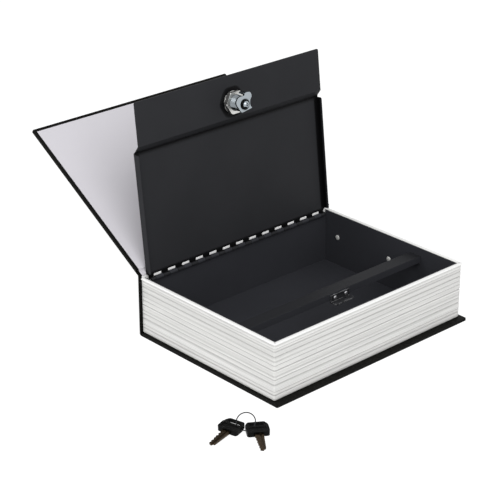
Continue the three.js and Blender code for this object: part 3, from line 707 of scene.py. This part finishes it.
# Painted highlight on the wall's flat top, and painted shade on the inner side's top and its foot.
INNER_PAINTED_LIGHT_MARKS = (-0.35, 0.6, 1.0)
PAGE_WALL = 3.2 * MM
WALL_TOP = PAGE_WALL * 0.86
INNER_DROP = 0.35 * MM
PAGE_CORNER = 2.0 * MM
RIM_LIP = 1.0 * MM
RIM_HEIGHT = 1.5 * MM
# The rim's outline: up from its foot with a share of the lip, then down from the top with the
# way back from the lip.
RIM_EASE = ((0.0, 0.0), (0.4 * MM, 0.8), (0.6 * MM, 1.0))
RIM_ROUND = ((0.4 * MM, 0.0), (0.12 * MM, 0.1 * MM), (0.0, 0.35 * MM))
PATH_STEPS = 44
CORNER_STEPS = 7
PAGE_SEED = 11
# Place of each groove as a share of the height, and its share of the groove depth.
GROOVE_SHARES = (0.09, 0.15, 0.27, 0.36, 0.41, 0.52, 0.61, 0.67, 0.76, 0.85, 0.9)
GROOVE_DEPTH_SHARES = (1.0, 0.5, 0.9, 0.8, 0.45, 1.0, 0.8, 0.5, 1.0, 0.8, 0.45)
# Lines from one groove to the next, and how sharply the ridge between them rises.
RIDGE_SHARES = (0.0, 0.07, 0.16, 0.3, 0.5, 0.7, 0.84, 0.93)
RIDGE_POWER = 2.2
# Fine lines: least and greatest depth in millimetres, ways (two in three sunk, the others
# raised), half width, clearing, spacing, and the bare strips at the foot and under the rim.
FINE_DEPTHS = (0.06, 0.22)
FINE_WAYS = (1, 1, -1)
FINE_HALF = 0.25 * MM
FINE_CLEAR = 0.3 * MM
FINE_SPACING = 0.7 * MM
FINE_FOOT, FINE_HEAD = 1.5 * MM, 1.2 * MM
# How fast the lines start to wander above the foot and under the top, and by what share the
# grooves' depth varies.
CALM_FOOT, CALM_HEAD = 6, 9
DEPTH_WANDER = 0.07
# Most waves round the wall of the lines' rise at the foot and at the top, and of their depth.
FOOT_WAVES, HEAD_WAVES, DEPTH_WAVES = 9, 14, 12
# How many waves make up one wandering line, the fewest round the wall and the least swing.
WAVES_ADDED, FEWEST_WAVES, LEAST_SWING = 4, 0.6, 0.4


def page_path(low, high, steps):
    """Points round the wall from the tail's spine end to the head's, each with its way out."""
    points = []
    run = high.x - PAGE_CORNER - low.x
    for i in range(steps + 1):
        points.append(((low.x + run * i / steps, low.y), (0.0, -1.0)))
    for side, start in ((-1, -90), (1, 0)):
        centre = (high.x - PAGE_CORNER, side * (high.y - PAGE_CORNER))
        for i in range(1, CORNER_STEPS):
            turn = math.radians(start + 90 * i / CORNER_STEPS)
            out = (math.cos(turn), math.sin(turn))
            points.append(
                ((centre[0] + PAGE_CORNER * out[0], centre[1] + PAGE_CORNER * out[1]), out)
            )
        if side < 0:
            span = 2 * (high.y - PAGE_CORNER)
            for i in range(steps + 1):
                points.append(
                    ((high.x, -high.y + PAGE_CORNER + span * i / steps), (1.0, 0.0))
                )
    for i in range(steps + 1):
        points.append(((high.x - PAGE_CORNER - run * i / steps, high.y), (0.0, 1.0)))
    return points


def page_levels(height, groove_depth, fine_lines, draw):
    """(height above the foot, inset) of each line round the wall, from the foot up."""
    top = height - RIM_HEIGHT - 0.5 * RIM_LIP
    shares = zip(GROOVE_SHARES, GROOVE_DEPTH_SHARES)
    grooves = [(0.0, 0.5 * groove_depth)]
    grooves += [(share * height, deep * groove_depth) for share, deep in shares]
    grooves.append((top, 0.5 * groove_depth))
    marks = []
    for (z0, depth0), (z1, depth1) in zip(grooves, grooves[1:]):
        for share in RIDGE_SHARES:
            depth = depth0 + (depth1 - depth0) * share
            sink = depth * (1 - math.sin(math.pi * share)) ** RIDGE_POWER
            marks.append((z0 + (z1 - z0) * share, sink))
    taken = [z for z, _ in grooves]
    for _ in range(fine_lines):
        middle = draw.uniform(FINE_FOOT, top - FINE_HEAD)
        depth = draw.uniform(*FINE_DEPTHS) * MM * draw.choice(FINE_WAYS)
        if all(abs(middle - t) > FINE_SPACING for t in taken):
            taken.append(middle)
            marks = [m for m in marks if abs(m[0] - middle) > FINE_CLEAR]
            marks += [(middle - FINE_HALF, 0.0), (middle, depth), (middle + FINE_HALF, 0.0)]
    marks += [(top + rise, -share * RIM_LIP) for rise, share in RIM_EASE]
    marks += [(height - drop, back - RIM_LIP) for drop, back in RIM_ROUND]
    return sorted(marks)


def wander(draw, count, most_waves):
    """A slow random line of that many values, from -1 to 1."""
    waves = [
        (
            draw.uniform(FEWEST_WAVES, most_waves), draw.uniform(0, math.tau),
            draw.uniform(LEAST_SWING, 1),
        )
        for _ in range(WAVES_ADDED)
    ]
    total = sum(swing for _, _, swing in waves)
    return [
        sum(
            swing * math.sin(math.tau * turns * i / count + start)
            for turns, start, swing in waves
        ) / total
        for i in range(count)
    ]


def build_pages(sizes, material):
    """The grooved wall with its rim, closed over the plain inner side."""
    draw = random.Random(PAGE_SEED)
    low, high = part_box("page_block")
    low, high = Vector(low) + Vector((0, RIM_LIP, 0)), Vector(high) - Vector((RIM_LIP, RIM_LIP, 0))
    path = page_path(low, high, PATH_STEPS)
    levels = page_levels(high.z - low.z, sizes.groove_depth, sizes.fine_lines, draw)
    shape = bmesh.new()
    painted_light_mark = shape.verts.layers.float.new(SHADE_AND_HIGHLIGHT_MARK)
    rings = []
    lift = wander(draw, len(path), FOOT_WAVES)
    lift_high = wander(draw, len(path), HEAD_WAVES)
    for z, inset in levels:
        share = z / (high.z - low.z)
        calm = min(1.0, CALM_FOOT * share, CALM_HEAD * (1 - share))
        uneven = wander(draw, len(path), DEPTH_WAVES)
        ring = []
        for i, ((x, y), out) in enumerate(path):
            rise = sizes.page_wave * calm * (lift[i] * (1 - share) + lift_high[i] * share)
            sink = inset * (1 + DEPTH_WANDER * uneven[i] * calm)
            ring.append((x - sink * out[0], y - sink * out[1], low.z + z + rise))
        rings.append(ring)
    rings.append([
        (x - WALL_TOP * out[0], y - WALL_TOP * out[1], high.z) for (x, y), out in path
    ])
    inner = []
    for (x, y), out in path:
        inner.append((
            max(low.x, min(x - PAGE_WALL * out[0], high.x - PAGE_WALL)),
            max(low.y + PAGE_WALL, min(y - PAGE_WALL * out[1], high.y - PAGE_WALL)),
        ))
    rings.append([(x, y, high.z - INNER_DROP) for x, y in inner])
    rings.append([(x, y, low.z) for x, y in inner])
    loops = loft(shape, rings, closed_rings=False, closed_loft=True)
    # Painted light marks: shade in each groove by its depth, and a highlight where the wall is
    # raised.
    for loop, (_, inset) in zip(loops, levels):
        for corner in loop:
            deep = max(0.0, inset) / sizes.groove_depth
            corner[painted_light_mark] = -1.0 if inset < 0 else deep ** SHADE_MARK_POWER
    for loop, value in zip(loops[len(levels):], INNER_PAINTED_LIGHT_MARKS):
        for corner in loop:
            corner[painted_light_mark] = value
    for end in (0, -1):
        shape.faces.new([loop[end] for loop in loops])
    bmesh.ops.dissolve_degenerate(shape, dist=SEAM_REACH, edges=shape.edges[:])
    piece = add_piece("page_edges", shape, material, "book", ("page_block",))
    smooth(piece, sharp_past=50)


# Paper inside the spine, which bulges into the lid's slots above the tray's knuckles

SLOT_COUNT = 13
SLOT_PITCH = 18.34 * MM
PAD_HALF = 4.7 * MM
PAD_ROUND = 0.5 * MM
PAD_END_SHARE = 0.7
PAD_BACK = 0.1 * MM
# The pad's face behind the hinge pin, and the heights over the pin where it starts and ends.
PAD_FACE = 1.6 * MM
PAD_RISE = (2.6 * MM, 3.5 * MM, 3.85 * MM)
# Radius and degrees round the pin of the hollow over each knuckle.
KNUCKLE_CLEAR = 2.4 * MM
KNUCKLE_TURNS = (180, 165, 150, 138, 130)


def build_hinge_strip(material):
    """The spine's lining with a pad in each slot, hollowed where it passes the knuckles."""
    low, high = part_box("spine_lining")
    pin_x, _, pin_z = joint_of("lid_hinge")["pos_m"]
    foot = high[0] - PAD_BACK
    face = pin_x - PAD_FACE
    rises = [pin_z + rise for rise in PAD_RISE]
    shape = bmesh.new()
    bmesh.ops.create_cube(shape, size=1.0, matrix=Matrix.Translation(
        [(a + b) / 2 for a, b in zip(low, high)]
    ) @ Matrix.Diagonal([b - a for a, b in zip(low, high)]).to_4x4())
    around = []
    for turn in KNUCKLE_TURNS:
        angle = math.radians(turn)
        around.append(
            (pin_x + KNUCKLE_CLEAR * math.cos(angle), pin_z + KNUCKLE_CLEAR * math.sin(angle))
        )
    profile = [
        (foot, pin_z), *around, (face, rises[0]), (face, rises[1]),
        (face - (PAD_RISE[2] - PAD_RISE[1]), rises[2]), (foot, rises[2]),
    ]
    full = PAD_HALF - PAD_ROUND
    stations = (
        (-PAD_HALF, PAD_END_SHARE), (-full, 1.0), (full, 1.0), (PAD_HALF, PAD_END_SHARE)
    )
    for number in range(SLOT_COUNT):
        middle = (number - (SLOT_COUNT - 1) / 2) * SLOT_PITCH
        loft(shape, [
            [(foot + (x - foot) * share, middle + y, z) for x, z in profile]
            for y, share in stations
        ], caps=True)
    piece = add_piece(
        "hinge_strip", shape, material, "book", ("spine_lining",)
    )
    smooth(piece, sharp_past=30)


# Lock: a threaded barrel, and a screw with a cross recess

BARREL_SIDES = 48
SCREW_SIDES = 72
SCREW_STEPS = 20


def turned_about(axis_point, axis, radius_of, heights, sides):
    """Rings about an axis, at heights along it, with a radius that may follow the turn."""
    turn = Vector((0, 0, 1)).rotation_difference(axis)
    rings = []
    for z in heights:
        ring = []
        for i in range(sides):
            angle = math.tau * i / sides
            r = radius_of(z, angle)
            ring.append(
                axis_point + turn @ Vector((r * math.cos(angle), r * math.sin(angle), z))
            )
        rings.append(ring)
    return rings


def lock_place():
    """The lock's axis at rest: a point on the strip's inner face and the way along the lock."""
    joint = joint_of("lock_turn")
    return Vector(joint["pos_m"]), Vector(joint["axis"]).normalized()


def build_barrel(sizes, material):
    """Bezel outside the lid, and a barrel with a thread from the strip to its end."""
    foot, inward = lock_place()
    bore, barrel, bezel = 6.0 * MM, 8.0 * MM, 11.0 * MM
    outer, seat, edge, end = -3.7 * MM, -1.3 * MM, 0.7 * MM, 16.8 * MM
    dish, mouth, foot_round, seat_round = 1.4 * MM, 0.9 * MM, 0.15 * MM, 0.2 * MM
    thread_start, plain_share, last_share, edge_share = 1.0 * MM, 0.4, 0.2, 0.3

    def thread(z, angle):
        if z < thread_start:
            return barrel - sizes.thread_depth * plain_share
        fade = min(1.0, (z - thread_start) / MM, (end - z) / MM + last_share)
        phase = (z / sizes.thread_pitch + angle / math.tau) % 1
        return barrel - sizes.thread_depth * fade * abs(2 * phase - 1)

    steps = int((end - seat) / (sizes.thread_pitch / 4))
    heights = [seat + (end - seat) * i / steps for i in range(steps + 1)]
    flat = [
        (lambda z, a: bore, [end, outer]),
        (lambda z, a: bezel - edge - dish, [outer]),
        (lambda z, a: bezel - edge, [outer]),
        (lambda z, a: bezel - edge * edge_share, [outer + edge * edge_share]),
        (lambda z, a: bezel, [outer + edge, seat - foot_round]),
        (lambda z, a: bezel - seat_round, [seat]),
    ]
    rings = []
    for radius_of, places in flat:
        rings += turned_about(foot, inward, radius_of, places, BARREL_SIDES)
    rings += turned_about(foot, inward, thread, heights, BARREL_SIDES)
    rings += turned_about(foot, inward, lambda z, a: barrel - mouth, [end], BARREL_SIDES)
    shape = bmesh.new()
    loft(shape, rings, closed_loft=True)
    piece = add_piece("lock_barrel", shape, material, "lid", ("lock_body",))
    smooth(piece, sharp_past=40)


def build_screw(material):
    """A domed head with a cross recess, and its shank in the plug."""
    foot, inward = lock_place()
    seat, head, rise, shank, shank_length = 20.5 * MM, 3.8 * MM, 2.6 * MM, 2.0 * MM, 7.0 * MM
    arm, reach, deep = 0.5 * MM, 2.1 * MM, 1.1 * MM
    turn = Vector((0, 0, 1)).rotation_difference(inward)
    rings = turned_about(
        foot, inward, lambda z, a: shank, [seat - shank_length, seat], SCREW_SIDES
    )
    for step in range(SCREW_STEPS):
        lift = math.radians(90 * step / SCREW_STEPS)
        radius = head * math.cos(lift)
        ring = []
        for i in range(SCREW_SIDES):
            angle = math.tau * i / SCREW_SIDES
            x, y = radius * math.cos(angle), radius * math.sin(angle)
            z = seat + rise * math.sin(lift)
            if min(abs(x), abs(y)) < arm and radius < reach:
                z -= deep * (1 - radius / reach) ** 0.5
            ring.append(foot + turn @ Vector((x, y, z)))
        rings.append(ring)
    shape = bmesh.new()
    loft(shape, rings, caps=True)
    piece = add_piece("cam_screw_head", shape, material, "lock", ("cam_screw",))
    smooth(piece, sharp_past=40)


# Split ring: two turns of flat wire

RING_COILS = 2.0
RING_STEPS = 150
WIRE_SIDES = 8
# Half of the flat wire's width and thickness, as shares of the wire.
WIRE_WIDE, WIRE_THICK = 0.8, 0.46
COIL_GAP = 1.02


def build_ring(sizes, material):
    """The coils lie in the plane of the CAD ring, one on the other."""
    points = [v.co.copy() for v in frame["nodes"]["key_ring"].data.vertices]
    centre = sum(points, Vector()) / len(points)
    first = max(points, key=lambda p: (p - centre).length) - centre
    second = max(points, key=lambda p: first.normalized().cross(p - centre).length) - centre
    normal = first.cross(second).normalized()
    across = first.normalized()
    along = normal.cross(across)
    wire = sizes.ring_wire
    radius = first.length - wire
    rings = []
    for i in range(RING_STEPS + 1):
        share = i / RING_STEPS
        angle = math.tau * RING_COILS * share
        offset = wire * (share - 0.5) * COIL_GAP
        radial = across * math.cos(angle) + along * math.sin(angle)
        middle = centre + radial * radius + normal * offset
        ring = []
        for k in range(WIRE_SIDES):
            turn = math.tau * k / WIRE_SIDES
            wide = radial * (WIRE_WIDE * wire * math.cos(turn))
            ring.append(middle + wide + normal * (WIRE_THICK * wire * math.sin(turn)))
        rings.append(ring)
    shape = bmesh.new()
    loft(shape, rings, caps=True)
    piece = add_piece("split_ring", shape, material, "ring", ("key_ring",))
    smooth(piece, sharp_past=50)


# Operators, one for each piece or group of like pieces


class BOOKSAFE_OT_cover(Operator):
    """Finish the boards, the folds and the paper inside them"""

    bl_idname = "booksafe.cover"
    bl_label = "Cover"

    def execute(self, context):
        made = finishes(context.scene)
        softness = context.scene.book_safe_sizes.edge_softness
        dress(COVER_NODES, made["skin"], softness * 2, segments=3)
        dress(("front_lining",), made["lining"], 0)
        build_folds(made["skin"], made["lining"])
        build_hinge_strip(made["hinge_strip"])
        return {"FINISHED"}


class BOOKSAFE_OT_pages(Operator):
    """Build the grooved wall that looks like the edges of pages"""

    bl_idname = "booksafe.pages"
    bl_label = "Pages"

    def execute(self, context):
        build_pages(context.scene.book_safe_sizes, finishes(context.scene)["pages"])
        return {"FINISHED"}


class BOOKSAFE_OT_tray(Operator):
    """Finish the tray, the ledge bar, the rivets and the hinge pin"""

    bl_idname = "booksafe.tray"
    bl_label = "Tray"

    def execute(self, context):
        made = finishes(context.scene)
        softness = context.scene.book_safe_sizes.edge_softness
        dress(("tray",), made["tray_paint"], softness)
        dress(("ledge_bar",), made["bar_paint"], softness)
        dress(("cam_keeper",), made["rubbed_paint"], softness)
        dress(TRAY_RIVET_NODES, made["rivets"], softness * 0.5)
        dress(KEEPER_RIVET_NODES, made["zinc"], softness * 0.5)
        dress(("hinge_pin",), made["zinc"], 0)
        return {"FINISHED"}


class BOOKSAFE_OT_lid(Operator):
    """Finish the folded lid"""

    bl_idname = "booksafe.lid"
    bl_label = "Lid"

    def execute(self, context):
        made = finishes(context.scene)
        dress(("lid",), made["lid_paint"], context.scene.book_safe_sizes.edge_softness)
        return {"FINISHED"}


class BOOKSAFE_OT_lock(Operator):
    """Build the threaded barrel and the screw, and finish the other lock pieces"""

    bl_idname = "booksafe.lock"
    bl_label = "Lock"

    def execute(self, context):
        made = finishes(context.scene)
        sizes = context.scene.book_safe_sizes
        dress(("lock_cam",), made["chrome"], sizes.edge_softness)
        dress(("lock_nut", "lock_washer"), made["nut"], sizes.edge_softness)
        dress(("lock_plug",), made["zinc"], sizes.edge_softness * 0.6)
        dress(("cam_washer",), made["lid_paint"], sizes.edge_softness * 0.6)
        build_barrel(sizes, made["chrome"])
        build_screw(made["chrome"])
        return {"FINISHED"}


class BOOKSAFE_OT_keys(Operator):
    """Build the split ring and finish the keys"""

    bl_idname = "booksafe.keys"
    bl_label = "Keys"

    def execute(self, context):
        made = finishes(context.scene)
        sizes = context.scene.book_safe_sizes
        dress(HEAD_NODES, made["key_plastic"], sizes.edge_softness * 2, segments=3)
        dress(BLADE_NODES, made["key_brass"], sizes.edge_softness * 0.6)
        build_ring(sizes, made["ring_steel"])
        return {"FINISHED"}


# Stage: a floor that shows as white, two lamps, white all round and the camera

FLOOR_HALF = 12.0
FLOOR_DROP = 0.02 * MM
SHADOW_GREY = 0.22
FLOOR_GLOW = 0.9
LAMP_AIM = (-0.02, 0.0, 0.06)
KEY_PLACE, KEY_SIZE = (1.3, -0.9, 1.5), 1.5
SIDE_PLACE, SIDE_SIZE = (-1.0, -1.4, 1.6), 1.2


def camera_back(stage):
    """The way from the aimed point to the camera."""
    flat = math.cos(stage.elevation)
    return Vector(
        (math.sin(stage.azimuth) * flat, -math.cos(stage.azimuth) * flat, math.sin(stage.elevation))
    )


def seen_rays(tree):
    """1 for camera, glossy and transmission rays, 0 for the light that falls on the object."""
    rays = tree.nodes.new("ShaderNodeLightPath")
    straight = math_node(
        tree, "MAXIMUM", rays.outputs["Is Camera Ray"], rays.outputs["Is Glossy Ray"]
    )
    return math_node(tree, "MAXIMUM", straight, rays.outputs["Is Transmission Ray"])


def floor_finish(stage):
    """A pale floor that is seen as white and keeps the object's shadow."""
    made = bpy.data.materials.new("white_floor")
    made.use_nodes = True
    tree = made.node_tree
    tree.nodes.clear()
    plain = place(tree, "ShaderNodeBsdfDiffuse", {"Color": shaded(stage.floor)})
    shadow = place(tree, "ShaderNodeBsdfDiffuse", {"Color": (*[SHADOW_GREY] * 3, 1.0)})
    glow = place(
        tree, "ShaderNodeEmission", {"Color": (1.0, 1.0, 1.0, 1.0), "Strength": FLOOR_GLOW}
    )
    white = place(
        tree, "ShaderNodeAddShader", {0: shadow.outputs["BSDF"], 1: glow.outputs["Emission"]}
    )
    mixed = place(
        tree, "ShaderNodeMixShader",
        {0: seen_rays(tree), 1: plain.outputs["BSDF"], 2: white.outputs["Shader"]},
    )
    out = tree.nodes.new("ShaderNodeOutputMaterial")
    tree.links.new(mixed.outputs["Shader"], out.inputs["Surface"])
    return made


def add_lamp(name, place_at, size, power):
    """A square lamp that is turned to the lamps' aim."""
    data = bpy.data.lights.new(name, "AREA")
    data.size = size
    data.energy = power
    lamp = bpy.data.objects.new(name, data)
    lamp.location = place_at
    lamp.rotation_euler = (Vector(LAMP_AIM) - Vector(place_at)).to_track_quat("-Z", "Y").to_euler()
    bpy.context.scene.collection.objects.link(lamp)


class BOOKSAFE_OT_stage(Operator):
    """Build the floor, the lamps, the white surroundings and the camera"""

    bl_idname = "booksafe.stage"
    bl_label = "Stage"

    def execute(self, context):
        scene = context.scene
        stage = scene.book_safe_stage
        mesh = bpy.data.meshes.new("floor")
        corners = [
            (x * FLOOR_HALF, y * FLOOR_HALF, 0) for x, y in ((-1, -1), (1, -1), (1, 1), (-1, 1))
        ]
        mesh.from_pydata(corners, [], [(0, 1, 2, 3)])
        mesh.materials.append(floor_finish(stage))
        floor = bpy.data.objects.new("floor", mesh)
        floor.location.z = -FLOOR_DROP
        scene.collection.objects.link(floor)

        world = bpy.data.worlds.new("white_studio")
        world.use_nodes = True
        tree = world.node_tree
        strength = spread(tree, seen_rays(tree), stage.sky, 1.0)
        back = tree.nodes["Background"]
        back.inputs["Color"].default_value = (1.0, 1.0, 1.0, 1.0)
        tree.links.new(strength, back.inputs["Strength"])
        scene.world = world

        add_lamp("key_lamp", KEY_PLACE, KEY_SIZE, stage.key_lamp)
        add_lamp("side_lamp", SIDE_PLACE, SIDE_SIZE, stage.side_lamp)

        data = bpy.data.cameras.new("camera")
        data.lens = stage.lens
        data.sensor_width = 36.0
        data.clip_end = 100.0
        camera = bpy.data.objects.new("camera", data)
        back_way = camera_back(stage)
        camera.location = Vector(stage.aim) + back_way * stage.distance
        camera.rotation_euler = (-back_way).to_track_quat("-Z", "Y").to_euler()
        scene.collection.objects.link(camera)
        scene.camera = camera
        scene.view_settings.view_transform = "Standard"
        return {"FINISHED"}


OPERATORS = (
    BOOKSAFE_OT_cover,
    BOOKSAFE_OT_pages,
    BOOKSAFE_OT_tray,
    BOOKSAFE_OT_lid,
    BOOKSAFE_OT_lock,
    BOOKSAFE_OT_keys,
    BOOKSAFE_OT_stage,
)


class BOOKSAFE_PT_panel(Panel):
    """Builds the pieces and holds their sizes and colours"""

    bl_idname = "BOOKSAFE_PT_panel"
    bl_label = "Book Safe"
    bl_space_type = "VIEW_3D"
    bl_region_type = "UI"
    bl_category = "Book Safe"

    def draw(self, context):
        scene = context.scene
        for operator in OPERATORS:
            self.layout.operator(operator.bl_idname)
        for settings in (scene.book_safe_sizes, scene.book_safe_colours, scene.book_safe_stage):
            column = self.layout.column()
            for name in settings.__annotations__:
                column.prop(settings, name)


SETTINGS = {
    "book_safe_colours": BookSafeColours,
    "book_safe_sizes": BookSafeSizes,
    "book_safe_stage": BookSafeStage,
}


def register():
    for cls in (*SETTINGS.values(), *OPERATORS, BOOKSAFE_PT_panel):
        bpy.utils.register_class(cls)
    for name, cls in SETTINGS.items():
        setattr(bpy.types.Scene, name, PointerProperty(type=cls))


def unregister():
    for name in SETTINGS:
        delattr(bpy.types.Scene, name)
    for cls in reversed((*SETTINGS.values(), *OPERATORS, BOOKSAFE_PT_panel)):
        bpy.utils.unregister_class(cls)


def main():
    """Builds every piece and the stage."""
    register()
    bpy.ops.booksafe.cover()
    bpy.ops.booksafe.pages()
    bpy.ops.booksafe.tray()
    bpy.ops.booksafe.lid()
    bpy.ops.booksafe.lock()
    bpy.ops.booksafe.keys()
    bpy.ops.booksafe.stage()


if __name__ == "__main__":
    main()
